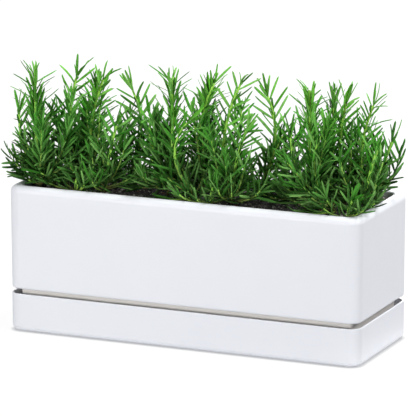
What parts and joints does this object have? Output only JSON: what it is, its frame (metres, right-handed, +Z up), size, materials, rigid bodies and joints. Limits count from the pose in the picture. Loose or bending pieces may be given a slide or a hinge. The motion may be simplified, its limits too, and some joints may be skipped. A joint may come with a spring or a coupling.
{
  "type": "indoor herb planter",
  "caption": "Long white planter box standing down in a matching drip tray, filled with soil and planted with upright rosemary sprigs.",
  "frame": {"origin": "middle of the drip tray's flat underside, on the surface that it stands on", "axes": "+X along the planter's length, +Y to the back, +Z up; the long front face looks along -Y"},
  "size_m": [0.4346, 0.148, 0.2959],
  "materials": {
    "white_plastic": "smooth white moulded plastic with a soft shine",
    "soil": "dark loose potting soil with bark chips; wood stands in for its light, part-wood mix",
    "rosemary": "woody green stems with narrow matt green leaves"
  },
  "bodies": {
    "tray": {"drip_tray": "white_plastic"},
    "planter": {"planter_box": "white_plastic", "potting_soil": "soil", "root_ball_1": "soil", "root_ball_2": "soil", "root_ball_3": "soil", "plant_1_sprig_1": "rosemary", "plant_1_sprig_2": "rosemary", "plant_1_sprig_3": "rosemary", "plant_1_sprig_4": "rosemary", "plant_1_sprig_5": "rosemary", "plant_1_sprig_6": "rosemary", "plant_1_sprig_7": "rosemary", "plant_1_sprig_8": "rosemary", "plant_1_sprig_9": "rosemary", "plant_2_sprig_1": "rosemary", "plant_2_sprig_2": "rosemary", "plant_2_sprig_3": "rosemary", "plant_2_sprig_4": "rosemary", "plant_2_sprig_5": "rosemary", "plant_2_sprig_6": "rosemary", "plant_2_sprig_7": "rosemary", "plant_2_sprig_8": "rosemary", "plant_2_sprig_9": "rosemary", "plant_3_sprig_1": "rosemary", "plant_3_sprig_2": "rosemary", "plant_3_sprig_3": "rosemary", "plant_3_sprig_4": "rosemary", "plant_3_sprig_5": "rosemary", "plant_3_sprig_6": "rosemary", "plant_3_sprig_7": "rosemary", "plant_3_sprig_8": "rosemary", "plant_3_sprig_9": "rosemary"}
  },
  "joints": [
    {"name": "planter_lift", "type": "slide", "parent": "tray", "child": "planter", "axis": [0, 0, 1], "range_m": [0, 0.08]}
  ]
}
